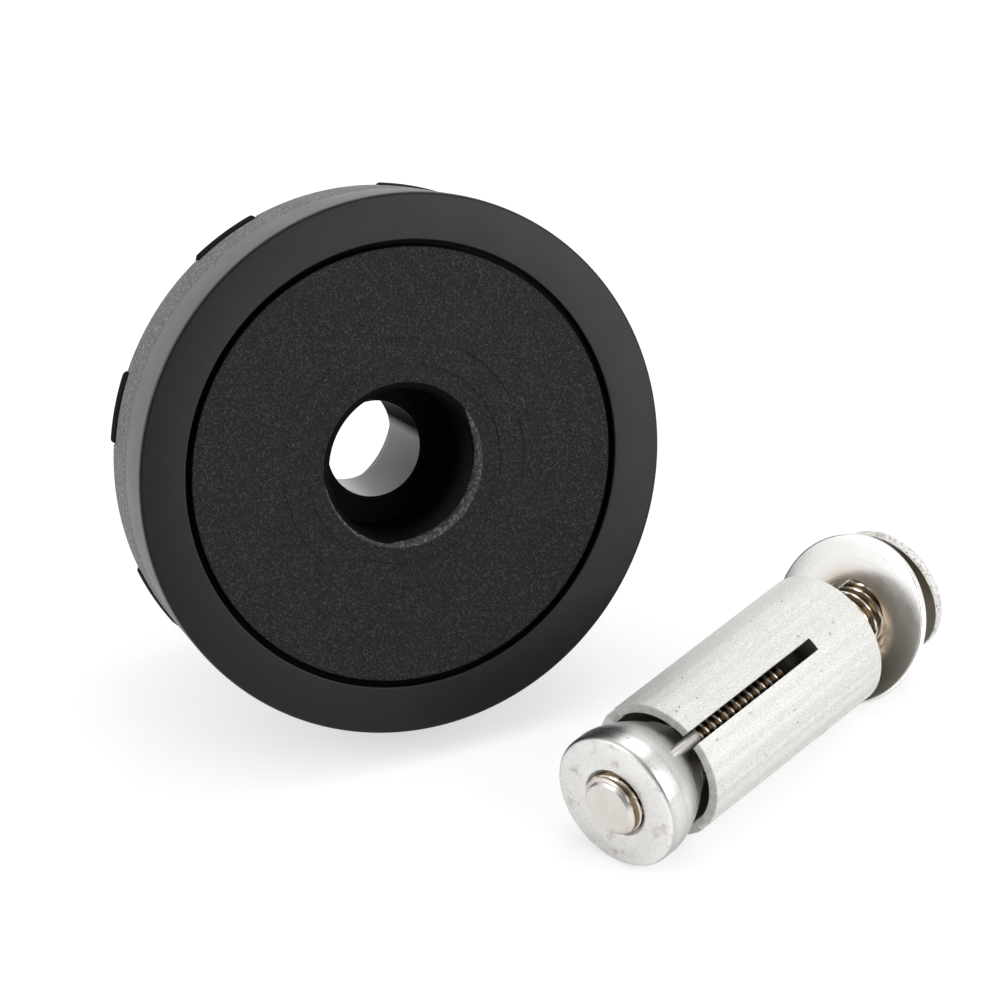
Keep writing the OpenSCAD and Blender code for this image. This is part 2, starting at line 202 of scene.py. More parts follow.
def speck_group():
    """Scattered small pits, stains or dust: a mask of separate specks of a given size."""
    group, ins, out = new_group("specks", [("Point", "Vector", None), ("Speck", "Float", 0.5),
                                           ("Share", "Float", 0.2)], [("Mask", "Float")])
    scale = calc(group, "DIVIDE", 1.0, ins["Speck"])
    cells = put(group, "ShaderNodeTexVoronoi", {"Vector": ins["Point"], "Scale": scale})
    spot = between(group, cells.outputs["Distance"], 0.38, 0.12)
    pick = put(group, "ShaderNodeSeparateColor", {0: cells.outputs["Color"]}).outputs[0]
    kept = calc(group, "LESS_THAN", pick, ins["Share"])
    plug(group, out["Mask"], calc(group, "MULTIPLY", spot, kept))
    return group


PUCK_AXIS = axis_group("puck_axis", PUCK)
KIT_AXIS = axis_group("kit_axis", KIT)
WASHER_AXIS = axis_group("washer_axis", WASHER)
GRAIN = grain_group()
MARKS = streak_group()
SPECKS = speck_group()


def finish(name, colour, rough, metal=0.0, **constants):
    """A material with its shader, ready for the maker of the finish to add its detail."""
    made = bpy.data.materials.new(name)
    made.use_nodes = True
    tree = made.node_tree
    shader = tree.nodes["Principled BSDF"]
    shader.inputs["Base Color"].default_value = toned(colour)
    shader.inputs["Roughness"].default_value = rough
    shader.inputs["Metallic"].default_value = metal
    for key, value in constants.items():
        shader.inputs[key.replace("_", " ")].default_value = value
    return made, tree, shader


def relief(tree, shader, height, depth):
    """Raised and sunk detail of a given depth in millimetres."""
    bump = put(tree, "ShaderNodeBump", {"Strength": 1.0, "Distance": depth * MM, "Height": height})
    plug(tree, shader.inputs["Normal"], bump.outputs[0])


def moulded(name, colour, rough, pebble, depth, uneven=0.4, swirl=0.0, circles=(), low=0.15, high=2.1,
            **constants):
    """Moulded plastic with a leather grain, with painted shade in its valleys and painted highlights on its
    high spots.

    swirl is the strength of the flow marks near the hole, circles the radii of faint witness lines.
    low and high scale the colour in the valleys and on the high spots, for the painted shade and highlights.
    """
    made, tree, shader = finish(name, colour, rough, **constants)
    axis = use(tree, PUCK_AXIS)
    grain = use(tree, GRAIN, {"Point": axis["Point"], "Pebble": pebble, "Uneven": uneven})
    flow = use(tree, MARKS, {"Across": calc(tree, "MULTIPLY_ADD", axis["Radius"], 0.02, axis["Turn"]),
                             "Along": axis["Radius"], "Fineness": 1.2, "Stretch": 2.2})
    near = between(tree, axis["Radius"], 17.0, 11.0, 0.0, swirl)
    height = calc(tree, "MULTIPLY_ADD", flow["Marks"], near, grain["Height"])
    patch = noise(tree, axis["Point"], 0.12, 3.0)
    for circle in circles:
        away = calc(tree, "ABSOLUTE", calc(tree, "SUBTRACT", axis["Radius"], circle))
        line = between(tree, away, 0.08, 0.30, 1.0, 0.0)
        seen = calc(tree, "MULTIPLY", line, between(tree, patch, 0.42, 0.55))
        height = calc(tree, "MULTIPLY_ADD", seen, -3.0, height)
    dull = between(tree, grain["Valley"], 0.0, 1.0, rough - 0.08, rough + 0.12)
    rougher = calc(tree, "MULTIPLY_ADD", patch, 0.10, calc(tree, "SUBTRACT", dull, 0.05))
    plug(tree, shader.inputs["Roughness"], rougher)
    # Painted shade in the grain's valleys and painted highlights on its high spots.
    tint = blend_colour(tree, grain["Valley"], toned(colour, high), toned(colour, low))
    plug(tree, shader.inputs["Base Color"], tint)
    relief(tree, shader, height, depth)
    return made


def satin(name, colour, rough, **constants):
    """Smooth moulded plastic with a trace of flow, fine wipe marks and a few specks of dust."""
    made, tree, shader = finish(name, colour, rough, **constants)
    axis = use(tree, PUCK_AXIS)
    flow = noise(tree, axis["Point"], 0.25, 4.0)
    wipe = use(tree, MARKS, {"Across": axis["Turn"], "Along": axis["Radius"], "Fineness": 3.0,
                             "Stretch": 3.0})
    micro = noise(tree, axis["Point"], 5.0, 3.0)
    dust = use(tree, SPECKS, {"Point": axis["Point"], "Speck": 0.6, "Share": 0.012})
    plug(tree, shader.inputs["Roughness"], calc(tree, "MULTIPLY_ADD", flow, 0.12, rough - 0.06))
    mottled = blend_colour(tree, between(tree, micro, 0.35, 0.65), toned(colour, 0.75), toned(colour, 1.25))
    tint = blend_colour(tree, dust["Mask"], mottled, toned(colour, 1.8))
    plug(tree, shader.inputs["Base Color"], tint)
    height = calc(tree, "MULTIPLY_ADD", wipe["Marks"], 0.5, micro)
    relief(tree, shader, height, 0.015)
    return made


def made_metal(name, space, colour, rough, fineness, stretch, depth=0.006, stain=None, pits=0.0,
               drawn=False, dark=0.9, haze=0.0, groove=None, mottle=0.0, **constants):
    """Metal with the marks of its making, uneven shine, small pits and, if asked, stains.

    Drawn marks run along the axis, turned ones round it. haze mixes in a dull white bloom, mottle
    a fine unevenness of tone, dark scales the colour in the slow bands between the marks, and
    groove = (low radius, high radius, colour) paints shade over what lies nearer the axis, as a thread's
    flanks.
    """
    made, tree, shader = finish(name, colour, rough, metal=1.0, **constants)
    axis = use(tree, space)
    run = axis["Depth"] if drawn else calc(tree, "ADD", axis["Radius"], axis["Depth"])
    marks = use(tree, MARKS, {"Across": axis["Turn"], "Along": run, "Fineness": fineness,
                              "Stretch": stretch})
    cloud = noise(tree, axis["Point"], 0.45, 5.0, 0.65)
    fine = noise(tree, axis["Point"], 4.5, 3.0, 0.7)
    pit = use(tree, SPECKS, {"Point": axis["Point"], "Speck": 0.55, "Share": pits})
    shine = calc(tree, "MULTIPLY_ADD", marks["Marks"], 0.18, rough - 0.09)
    shine = calc(tree, "MULTIPLY_ADD", cloud, 0.16, calc(tree, "SUBTRACT", shine, 0.08))
    shine = calc(tree, "MAXIMUM", calc(tree, "MULTIPLY_ADD", pit["Mask"], 0.25, shine), 0.06)
    plug(tree, shader.inputs["Roughness"], shine)
    tint = blend_colour(tree, marks["Bands"], toned(colour, dark), toned(colour))
    if mottle:
        shade = between(tree, fine, 0.3, 0.7, 1.0 - mottle, 1.0 + mottle)
        grey = put(tree, "ShaderNodeCombineXYZ", {0: shade, 1: shade, 2: shade}).outputs[0]
        tint = blend_colour(tree, 1.0, tint, grey, "MULTIPLY")
    if stain:
        warm = between(tree, cloud, 0.55, 0.72, 0.0, 0.8)
        tint = blend_colour(tree, warm, tint, toned(stain))
    tint = blend_colour(tree, calc(tree, "MULTIPLY", pit["Mask"], 0.45), tint, toned(colour, 0.5))
    # Painted shade: colour nearer the axis is darkened towards the groove colour.
    if groove:
        low = between(tree, axis["Radius"], groove[0], groove[1], 1.0, 0.0)
        tint = blend_colour(tree, low, tint, toned(groove[2]))
    plug(tree, shader.inputs["Base Color"], tint)
    if haze:
        bloom = between(tree, fine, 0.3, 0.7, 1.0 - 1.25 * haze, 1.0 - 0.75 * haze)
        plug(tree, shader.inputs["Metallic"], bloom)
    height = calc(tree, "MULTIPLY_ADD", pit["Mask"], -2.0, marks["Marks"])
    height = calc(tree, "MULTIPLY_ADD", fine, 0.6, height)
    relief(tree, shader, height, depth)
    return made


def resin(name, colour):
    """Poured potting resin: glossy, slightly wavy, with pin bubbles and settled dust."""
    made, tree, shader = finish(name, colour, 0.28, Coat_Weight=0.4, Coat_Roughness=0.1)
    axis = use(tree, PUCK_AXIS)
    wave = noise(tree, axis["Point"], 0.5, 2.0)
    bubble = use(tree, SPECKS, {"Point": axis["Point"], "Speck": 0.5, "Share": 0.12})
    plug(tree, shader.inputs["Roughness"], calc(tree, "MULTIPLY_ADD", wave, 0.2, 0.2))
    tint = blend_colour(tree, wave, toned(colour), toned(colour, 1.6))
    plug(tree, shader.inputs["Base Color"], tint)
    relief(tree, shader, calc(tree, "MULTIPLY_ADD", bubble["Mask"], -0.3, wave), 0.08)
    return made


CAP_FACE = moulded("cap_leather_grain", (0.022, 0.022, 0.0222), 0.38, 0.25, 0.50, uneven=0.9, swirl=1.2,
                   circles=(12.4, 15.5), low=0.55, high=2.4, Specular_IOR_Level=0.27)
# Painted highlight: a lighter copy of the face's grain for the counterbore's lip.
CAP_LIP_LIT = moulded("cap_lip_painted_highlight", (0.034, 0.034, 0.034), 0.34, 0.40, 0.26, uneven=0.8, low=0.6, high=3.2)
CAP_BORE = satin("cap_bore_gloss", (0.0045, 0.0045, 0.0045), 0.35, IOR=1.08)
# Painted sheen: the pebbled side takes a far lighter grey than the face, for the light it catches at a
# grazing angle.
CAP_SIDE_SHEEN = moulded("cap_side_pebble_painted_sheen", (0.101, 0.099, 0.103), 0.42, 0.28, 0.08, uneven=0.7, low=0.75,
                   high=2.0)
RING_SATIN = satin("ring_satin", (0.0045, 0.0045, 0.0046), 0.42, Specular_IOR_Level=0.34)
# Painted sheen: the ring's side takes a lighter copy of its front's black, for the light it catches at a
# grazing angle.
RING_SIDE_SHEEN = satin("ring_side_painted_sheen", (0.051, 0.051, 0.053), 0.38)
LUG_BLACK = satin("lug_black", (0.004, 0.004, 0.004), 0.6, IOR=1.06)
BUSH_BLACK = satin("bush_gloss", (0.004, 0.0038, 0.0038), 0.12, Specular_IOR_Level=0.45)
# Painted shade: the shine of the bush's wall is dimmed upwards in bands, each as many degrees of turn as the
# step below, by a lower IOR and more roughness.
SHADE_BAND_STEP = 4
BUSH_PAINTED_SHADE = [satin(f"bush_gloss_{k + 1}", (0.004, 0.0038, 0.0038), 0.14 + 0.02 * k, IOR=ior)
             for k, ior in enumerate((1.26, 1.13, 1.05, 1.012))]
POT_NICKEL = made_metal("pot_nickel", PUCK_AXIS, (0.62, 0.61, 0.59), 0.28, 8.0, 6.0, pits=0.04)
MAGNET_NICKEL = made_metal("magnet_nickel", PUCK_AXIS, (0.56, 0.56, 0.57), 0.2, 2.0, 1.0, pits=0.03)
POTTING = resin("potting_resin", (0.012, 0.012, 0.012))
LINER_STEEL = made_metal("liner_steel", PUCK_AXIS, (0.17, 0.165, 0.165), 0.42, 4.0, 9.0,
                         stain=(0.12, 0.11, 0.10))
SCREW_STEEL = made_metal("screw_steel", PUCK_AXIS, (0.5, 0.5, 0.52), 0.3, 3.0, 3.0)
# Painted shade: the thread's flanks nearer its axis are tinted dark brown.
BOLT_STEEL = made_metal("bolt_stainless", KIT_AXIS, (0.84, 0.78, 0.70), 0.17, 5.0, 4.0,
                        groove=(3.72, 3.96, (0.20, 0.145, 0.085)))
TIP_STEEL = made_metal("bolt_tip_face", KIT_AXIS, (0.80, 0.755, 0.715), 0.34, 2.0, 2.0,
                       stain=(0.62, 0.53, 0.49))
HEAD_STEEL = made_metal("bolt_head_bright", KIT_AXIS, (0.80, 0.79, 0.76), 0.20, 3.0, 3.0, depth=0.22,
                        pits=0.6, mottle=0.25, stain=(0.5, 0.43, 0.33))
# Painted shade: a dark brown steel for the head's underside and the floor of its socket, where shade falls.
SHADED_UNDER_STEEL = made_metal("bolt_head_underside_painted_shade", KIT_AXIS, (0.24, 0.22, 0.18), 0.42, 3.0, 3.0,
                         stain=(0.08, 0.07, 0.05))
# Painted reflection: a brown tint over the washer's ring near its bore stands in for the dark thread it
# reflects.
WASHER_STEEL = made_metal("washer_polished", WASHER_AXIS, (0.99, 0.98, 0.96), 0.19, 2.0, 2.0, pits=0.01,
                          groove=(5.2, 7.4, (0.78, 0.70, 0.60)))
SLEEVE_METAL = made_metal("sleeve_drawn_aluminium", KIT_AXIS, (0.715, 0.71, 0.685), 0.42, 60.0, 0.10,
                          depth=0.09, drawn=True, dark=0.90, haze=0.5, mottle=0.17, pits=0.02)
# Painted shade: the slot floors take a near black, and the inside of legs and collar, the slot ends and the
# rear end face a dark grey, where shade falls; the inside also has real stains.
SLEEVE_SLOT_FLOOR_SHADE = made_metal("sleeve_slot_floor_painted_shade", KIT_AXIS, (0.05, 0.047, 0.04), 0.5, 8.0, 3.0, mottle=0.1)
SLEEVE_INSIDE_SHADE = made_metal("sleeve_inside_painted_shade", KIT_AXIS, (0.26, 0.25, 0.23), 0.5, 8.0, 3.0, mottle=0.1,
                           stain=(0.15, 0.13, 0.10))
NUT_METAL = made_metal("nut_cast_zinc", KIT_AXIS, (0.895, 0.885, 0.865), 0.34, 4.0, 1.5, depth=0.014,
                       stain=(0.52, 0.47, 0.46), pits=0.03, haze=0.14, mottle=0.09)
# Painted shade: the nut's side takes a darker copy of the face's metal, for the darker reflections it shows.
NUT_SIDE_SHADED = made_metal("nut_side_painted_shade", KIT_AXIS, (0.645, 0.64, 0.625), 0.30, 0.6, 6.0, depth=0.02,
                      dark=0.82, pits=0.03, mottle=0.08)
# Painted shade: the keys take a darker, duller copy of the nut's metal.
KEY_SHADED_METAL = made_metal("nut_key_painted_shade", KIT_AXIS, (0.42, 0.41, 0.39), 0.42, 6.0, 1.0, depth=0.02, mottle=0.12)


# ======== mesh helpers
ROUND_STEPS, ROUND_SHARE = 6, 0.49  # the steps of a rounded corner, and how much of a side it may take


def rounded(corners):
    """An outline of (radius, depth, rounding, finish) corners as points.

    A corner's finish is that of the stretch from it to the next one.
    """
    points = []
    count = len(corners)
    for i, (r, d, size, tag) in enumerate(corners):
        here = Vector((r, d))
        if not size:
            points.append((r, d, tag))
            continue
        before = Vector(corners[i - 1][:2]) - here
        after = Vector(corners[(i + 1) % count][:2]) - here
        reach = min(size, before.length * ROUND_SHARE, after.length * ROUND_SHARE)
        start = here + before.normalized() * reach
        end = here + after.normalized() * reach
        last = corners[i - 1][3]
        for k in range(ROUND_STEPS + 1):
            t = k / ROUND_STEPS
            at = start * (1 - t) ** 2 + here * 2 * t * (1 - t) + end * t ** 2
            points.append((at.x, at.y, last if t < 0.5 else tag))
    return points


def added(name, data):
    """An object in the scene for a mesh, a lamp or a camera."""
    made = bpy.data.objects.new(name, data)
    bpy.context.scene.collection.objects.link(made)
    return made


def finished_mesh(name, mesh, place, finishes, sharp=40.0):
    """A piece from a mesh in millimetres: welded, facing outward, smooth, and set in place."""
    work = bmesh.new()
    work.from_mesh(mesh)
    bmesh.ops.remove_doubles(work, verts=work.verts, dist=1e-4)
    bmesh.ops.dissolve_degenerate(work, edges=work.edges, dist=1e-5)
    bmesh.ops.recalc_face_normals(work, faces=work.faces)
    work.transform(Matrix.Scale(MM, 4) @ place)
    work.to_mesh(mesh)
    work.free()
    mesh.shade_smooth()
    mesh.set_sharp_from_angle(angle=math.radians(sharp))
    for material in finishes:
        mesh.materials.append(material)
    return added(name, mesh)


def turned_mesh(name, outline, steps=192, closed=True):
    """An outline turned about the axis. A radius may be a number or a rule on the angle."""
    count = len(outline)
    verts = []
    for k in range(steps):
        a = 2 * math.pi * k / steps
        for r, d, _ in outline:
            at = r(a) if callable(r) else r
            verts.append((at * math.cos(a), at * math.sin(a), d))
    faces, tags = [], []
    spans = count if closed else count - 1
    for k in range(steps):
        n = (k + 1) % steps
        for j in range(spans):
            m = (j + 1) % count
            faces.append((k * count + j, n * count + j, n * count + m, k * count + m))
            tags.append(outline[j][2])
    mesh = bpy.data.meshes.new(name)
    mesh.from_pydata(verts, [], faces)
    mesh.polygons.foreach_set("material_index", tags)
    mesh.update()
    return mesh


def turned(name, corners, place, finishes, steps=192):
    """A turned piece: corners as for rounded(), where a finish is a place in the list."""
    return finished_mesh(name, turned_mesh(name, rounded(corners), steps), place, finishes)


def swept_mesh(name, rows):
    """A solid through closed rows of points, each the same in number, with a lid on both ends."""
    stations, size = len(rows), len(rows[0])
    faces = [tuple(range(size)), tuple((stations - 1) * size + j for j in reversed(range(size)))]
    for k in range(stations - 1):
        for j in range(size):
            m = (j + 1) % size
            faces.append((k * size + j, (k + 1) * size + j, (k + 1) * size + m, k * size + m))
    mesh = bpy.data.meshes.new(name)
    mesh.from_pydata([point for row in rows for point in row], [], faces)
    return mesh


def round_row(section, angle):
    """A section of (radius, depth) points stood at an angle round the axis."""
    return [(r * math.cos(angle), r * math.sin(angle), d) for r, d in section]


def join_meshes(name, meshes):
    """Several meshes in millimetres as one, each keeping its finish numbers."""
    work = bmesh.new()
    for mesh in meshes:
        work.from_mesh(mesh)
    joined = bpy.data.meshes.new(name)
    work.to_mesh(joined)
    work.free()
    return joined


def weld(mesh):
    """Merges a mesh's doubles and turns its faces outward."""
    work = bmesh.new()
    work.from_mesh(mesh)
    bmesh.ops.remove_doubles(work, verts=work.verts, dist=1e-4)
    bmesh.ops.recalc_face_normals(work, faces=work.faces)
    work.to_mesh(mesh)
    work.free()


def baked(piece, keep_name):
    """The piece with its modifiers worked out, as a plain mesh."""
    bpy.context.view_layer.update()
    graph = bpy.context.evaluated_depsgraph_get()
    mesh = bpy.data.meshes.new_from_object(piece.evaluated_get(graph), depsgraph=graph)
    piece.modifiers.clear()
    old = piece.data
    piece.data = mesh
    bpy.data.meshes.remove(old)
    mesh.name = keep_name
    return piece


def cut(mesh, cutter_mesh):
    """The mesh less the cutter's solid."""
    weld(mesh)
    weld(cutter_mesh)
    body, cutter = added("cut_body", mesh), added("cutter", cutter_mesh)
    modifier = body.modifiers.new("cut", "BOOLEAN")
    modifier.operation, modifier.solver, modifier.object = "DIFFERENCE", "EXACT", cutter
    result = baked(body, mesh.name).data
    bpy.data.objects.remove(body)
    bpy.data.objects.remove(cutter)
    return result


# ======== geometry trees
def end_tree(group, geometry, ins, out):
    """Makes what a tree has built real and gives it its finish."""
    real = put(group, "GeometryNodeRealizeInstances", {0: geometry}).outputs[0]
    done = put(group, "GeometryNodeSetMaterial", {"Geometry": real, "Material": ins["Material"]}).outputs[0]
    plug(group, out["Geometry"], done)


def round_table_group():
    """Copies of one part stood at equal angles round an axis."""
    group, ins, out = new_group("copies_round_an_axis", [
        ("Part", "Geometry", None), ("Copies", "Int", 8), ("First angle", "Float", 0.0),
        ("Material", "Material", None)], [("Geometry", "Geometry")], "GeometryNodeTree")
    line = put(group, "GeometryNodeMeshLine", {"Count": ins["Copies"], "Offset": (0, 0, 0)}).outputs[0]
    index = put(group, "GeometryNodeInputIndex").outputs[0]
    step = calc(group, "DIVIDE", 2 * math.pi, ins["Copies"])
    angle = calc(group, "MULTIPLY_ADD", index, step, ins["First angle"])
    turn = put(group, "ShaderNodeCombineXYZ", {2: angle}).outputs[0]
    stood = put(group, "GeometryNodeInstanceOnPoints", {"Points": line, "Instance": ins["Part"],
                                                        "Rotation": turn}).outputs[0]
    end_tree(group, stood, ins, out)
    return group


def thread_group():
    """A screw thread as one skin, with a flat lid on its chamfered tip."""
    group, ins, out = new_group("screw_thread", [
        ("Length", "Float", 50.0), ("Crest", "Float", 4.0), ("Root", "Float", 3.4), ("Pitch", "Float", 1.25),
        ("Chamfer", "Float", 0.8), ("Rows", "Int", 400), ("Steps", "Int", 72),
        ("Material", "Material", None)], [("Geometry", "Geometry")], "GeometryNodeTree")
    grid = put(group, "GeometryNodeMeshGrid", {"Size X": 1.0, "Size Y": 1.0, "Vertices X": ins["Steps"],
                                               "Vertices Y": ins["Rows"]}).outputs[0]
    at = put(group, "ShaderNodeSeparateXYZ", {0: put(group, "GeometryNodeInputPosition").outputs[0]}).outputs
    turn = calc(group, "ADD", at[0], 0.5)
    z = calc(group, "MULTIPLY", calc(group, "ADD", at[1], 0.5), ins["Length"])
    pitches = calc(group, "SUBTRACT", calc(group, "DIVIDE", z, ins["Pitch"]), turn)
    phase = calc(group, "FRACT", pitches)
    from_crest = calc(group, "ABSOLUTE", calc(group, "MULTIPLY_ADD", phase, 2.0, -1.0))
    rise = between(group, calc(group, "SUBTRACT", 1.0, from_crest), 0.16, 0.84, way="LINEAR")
    swell = calc(group, "MULTIPLY", rise, calc(group, "SUBTRACT", ins["Crest"], ins["Root"]))
    tip_r = calc(group, "SUBTRACT", ins["Crest"], ins["Chamfer"])
    r = calc(group, "MINIMUM", calc(group, "ADD", ins["Root"], swell), calc(group, "ADD", tip_r, z))
    angle = calc(group, "MULTIPLY", turn, 2 * math.pi)
    x = calc(group, "MULTIPLY", calc(group, "COSINE", angle), r)
    y = calc(group, "MULTIPLY", calc(group, "SINE", angle), r)
    where = put(group, "ShaderNodeCombineXYZ", {0: x, 1: y, 2: z}).outputs[0]
    skin = put(group, "GeometryNodeSetPosition", {"Geometry": grid, "Position": where}).outputs[0]
    lid = put(group, "GeometryNodeMeshCircle", {"Vertices": calc(group, "SUBTRACT", ins["Steps"], 1.0),
                                                "Radius": tip_r}, fill_type="NGON").outputs[0]
    both = put(group, "GeometryNodeJoinGeometry")
    for part in (lid, skin):
        group.links.new(part, both.inputs[0])
    welded = put(group, "GeometryNodeMergeByDistance", {"Geometry": both.outputs[0],
                                                        "Distance": 0.0005}).outputs[0]
    end_tree(group, welded, ins, out)
    return group


ROUND_TABLE = round_table_group()
THREAD = thread_group()


def from_tree(name, mesh, group, values):
    """Runs a geometry tree, with its named inputs set, over a mesh. Its finish is a placeholder."""
    piece = added(name, mesh)
    modifier = piece.modifiers.new(group.name, "NODES")
    modifier.node_group = group
    values = {"Material": LUG_BLACK, **values}
    for item in group.interface.items_tree:
        if item.item_type == "SOCKET" and item.in_out == "INPUT" and item.name in values:
            modifier[item.identifier] = values[item.name]
    result = baked(piece, name).data
    bpy.data.objects.remove(piece)
    result.materials.clear()
    return result


def copies(name, part, count, first_angle):
    """A part's mesh repeated round the axis."""
    return from_tree(name, part, ROUND_TABLE, {"Copies": count, "First angle": math.radians(first_angle)})


# ======== the puck
def side_r(depth):
    """The radius of the puck's tapered side at a depth behind its face."""
    return FACE_R - (FACE_R - RIM_R) * depth / CAP_H


def home_faces(piece):
    """Each face of a finished puck piece, its radius, its depth and its angle above the right side."""
    home = (Matrix.Scale(MM, 4) @ PUCK).inverted()
    for face in piece.data.polygons:
        at = home @ face.center
        yield face, math.hypot(at.x, at.y), at.z, math.degrees(math.atan2(-at.y, at.x))


def quarter_round(r, size, steps):
    """Points of a round that turns from a bore's wall out to the face in front of it."""
    turns = [math.pi / 2 * i / steps for i in range(steps + 1)]
    return [(r + size - size * math.cos(a), size - size * math.sin(a)) for a in turns]


def arc_block(section, angle, stations=9):
    """A closed section swept through part of a turn about the axis."""
    half = math.radians(angle) / 2
    return swept_mesh("arc_block", [round_row(section, -half + 2 * half * k / (stations - 1))
                                    for k in range(stations)])


def lip_highlight_depth(up):
    """How deep into the counterbore's lip the painted highlight goes, at an angle above the right side."""
    knots = ((-180, 0.0), (-150, 0.05), (-110, 0.08), (-78, 0.85), (-25, 0.85), (30, 0.0), (180, 0.0))
    for (a, low), (b, high) in zip(knots, knots[1:]):
        if up <= b:
            return low + (high - low) * (up - a) / (b - a)
    return 0.0


def make_cap():
    """Moulded cap: textured disc, counterbore with a round lip, pebbled side and lug notches."""
    face, bore, side, edge = 0, 1, 2, 3
    lip = [(r, d, 0, edge if d < 0.8 else bore) for r, d in quarter_round(CBORE_R, CBORE_ROUND, steps=20)]
    lip[-1] = (*lip[-1][:3], face)
    seat_r = POT_FLANGE_R + PLAY
    mesh = turned_mesh("cap", rounded([
        (BUSH_R + PLAY, CBORE_H, 0, bore), (CBORE_R, CBORE_H, 0.3, bore)] + lip + [
        (DISC_R, 0, 0.3, bore), (DISC_R, RING_H, 0, side), (side_r(RING_H), RING_H, 0.12, side),
        (RIM_R, CAP_H, 0.25, side), (seat_r, CAP_H, 0, side), (seat_r, POT_FRONT, 0, side),
        (LINER_R, POT_FRONT, 0, bore), (LINER_R, BOSS_END, 0.2, bore), (BUSH_R + PLAY, BOSS_END, 0, bore)]),
        steps=240)
    floor, past = CAP_H - NOTCH_H - PLAY, CAP_H + 1
    notch = arc_block([(NOTCH_R, floor), (RIM_R + 2, floor), (RIM_R + 2, past), (NOTCH_R, past)], NOTCH_ANGLE)
    mesh = cut(mesh, copies("notches", notch, LUGS, LUG_TURN))
    piece = finished_mesh("cap", mesh, PUCK, [CAP_FACE, CAP_BORE, CAP_SIDE_SHEEN, CAP_LIP_LIT])
    # Painted highlight: the lip keeps its lighter finish only on its lower right side, where light falls.
    for flat, _, depth, up in home_faces(piece):
        if flat.material_index == edge and depth > lip_highlight_depth(up):
            flat.material_index = bore
    return piece


def make_ring():
    """Bumper ring: its smooth front and side, and the dull groove between it and the disc."""
    front, edge, groove = 0, 1, 2
    # Painted sheen: the side takes the lighter copy of the front's black.
    return turned("bumper", [
        (DISC_R + PLAY, RING_H, 0, groove), (DISC_R + PLAY, GROOVE_H, 0, groove),
        (DISC_R + GROOVE_W, GROOVE_H, 0, groove), (DISC_R + GROOVE_W, 0, 0.22, front),
        (FACE_R, 0, 0.5, edge), (side_r(RING_H), RING_H, 0.12, edge)],
        PUCK, [RING_SATIN, RING_SIDE_SHEEN, CAP_BORE], steps=240)


def lug_mesh():
    """One lug: a short piece of a ring with its foot in a notch and its outer corners rounded off."""
    stations, half, corner, bevel = 25, math.radians(LUG_ANGLE / 2), LUG_CORNER, 0.12
    rows = []
    for k in range(stations):
        t = -math.cos(math.pi * k / (stations - 1))
        a = half * t
        from_end = (1 - abs(t)) * half * LUG_R
        drop = corner - math.sqrt(max(0.0, corner ** 2 - max(0.0, corner - from_end) ** 2))
        out, foot = LUG_R - drop, KEEPER_R - 1
        rows.append(round_row([
            (foot, 0.02), (LUG_NEST_R, 0.02), (LUG_NEST_R, -NOTCH_H), (out - bevel, -NOTCH_H),
            (out, -NOTCH_H + bevel), (out, LUG_SIDE), (out - 0.10, LUG_SIDE + 0.2),
            (KEEPER_R - drop, LUG_H - 0.1), (KEEPER_R - drop - bevel, LUG_H), (foot, LUG_H)], a))
    return swept_mesh("lug", rows)


def make_keeper():
    """Retaining ring: a flat plate with countersunk holes and lugs round its edge."""
    plate = turned_mesh("keeper_plate", rounded([
        (POT_R + 0.3, 0, 0, 0), (KEEPER_R, 0, 0, 0), (KEEPER_R, KEEPER_H, 0.2, 0),
        (POT_R + 0.3, KEEPER_H, 0.2, 0)]))
    sink = turned_mesh("countersink", rounded([
        (0.0, -1.0, 0, 0), (SCREW_R + PLAY, -1.0, 0, 0),
        (SCREW_R + PLAY, KEEPER_H - SCREW_HEAD_R + SCREW_R, 0, 0),
        (SCREW_HEAD_R + 0.05, KEEPER_H + 0.02, 0, 0), (SCREW_HEAD_R + 0.05, 3.0, 0, 0),
        (0.0, 3.0, 0, 0)]), steps=32)
    sink.transform(Matrix.Translation((SCREW_CIRCLE_R, 0, 0)))
    plate = cut(plate, copies("countersinks", sink, SCREWS, SCREW_TURN))
    mesh = join_meshes("keeper", [plate, copies("lugs", lug_mesh(), LUGS, LUG_TURN)])
    return finished_mesh("keeper", mesh, PUCK @ Matrix.Translation((0, 0, CAP_H)), [LUG_BLACK], 35.0)


def hexagon(across):
    """The radius of a hexagon of a given width across flats, as a rule on the angle."""
    return lambda a: across / 2 / math.cos((a % (math.pi / 3)) - math.pi / 6)


def make_cap_screws():
    """Countersunk screws with a hexagon recess, repeated round the retaining ring."""
    cone, recess = SCREW_HEAD_R - SCREW_R, hexagon(1.5)
    screw = turned_mesh("cap_screw", [
        (0.0, -SCREW_LEN, 0), (SCREW_R - 0.3, -SCREW_LEN, 0), (SCREW_R, -SCREW_LEN + 0.3, 0),
        (SCREW_R, -cone, 0), (SCREW_HEAD_R, -0.1, 0), (SCREW_HEAD_R - 0.1, 0.0, 0),
        (1.05, 0.0, 0), (recess, -0.12, 0), (recess, -0.9, 0), (0.0, -1.1, 0)], steps=48, closed=False)
    screw.transform(Matrix.Translation((SCREW_CIRCLE_R, 0, 0)))
    mesh = copies("cap_screws", screw, SCREWS, SCREW_TURN)
    return finished_mesh("cap_screws", mesh, PUCK @ Matrix.Translation((0, 0, CAP_H + KEEPER_H)),
                         [SCREW_STEEL], 30.0)


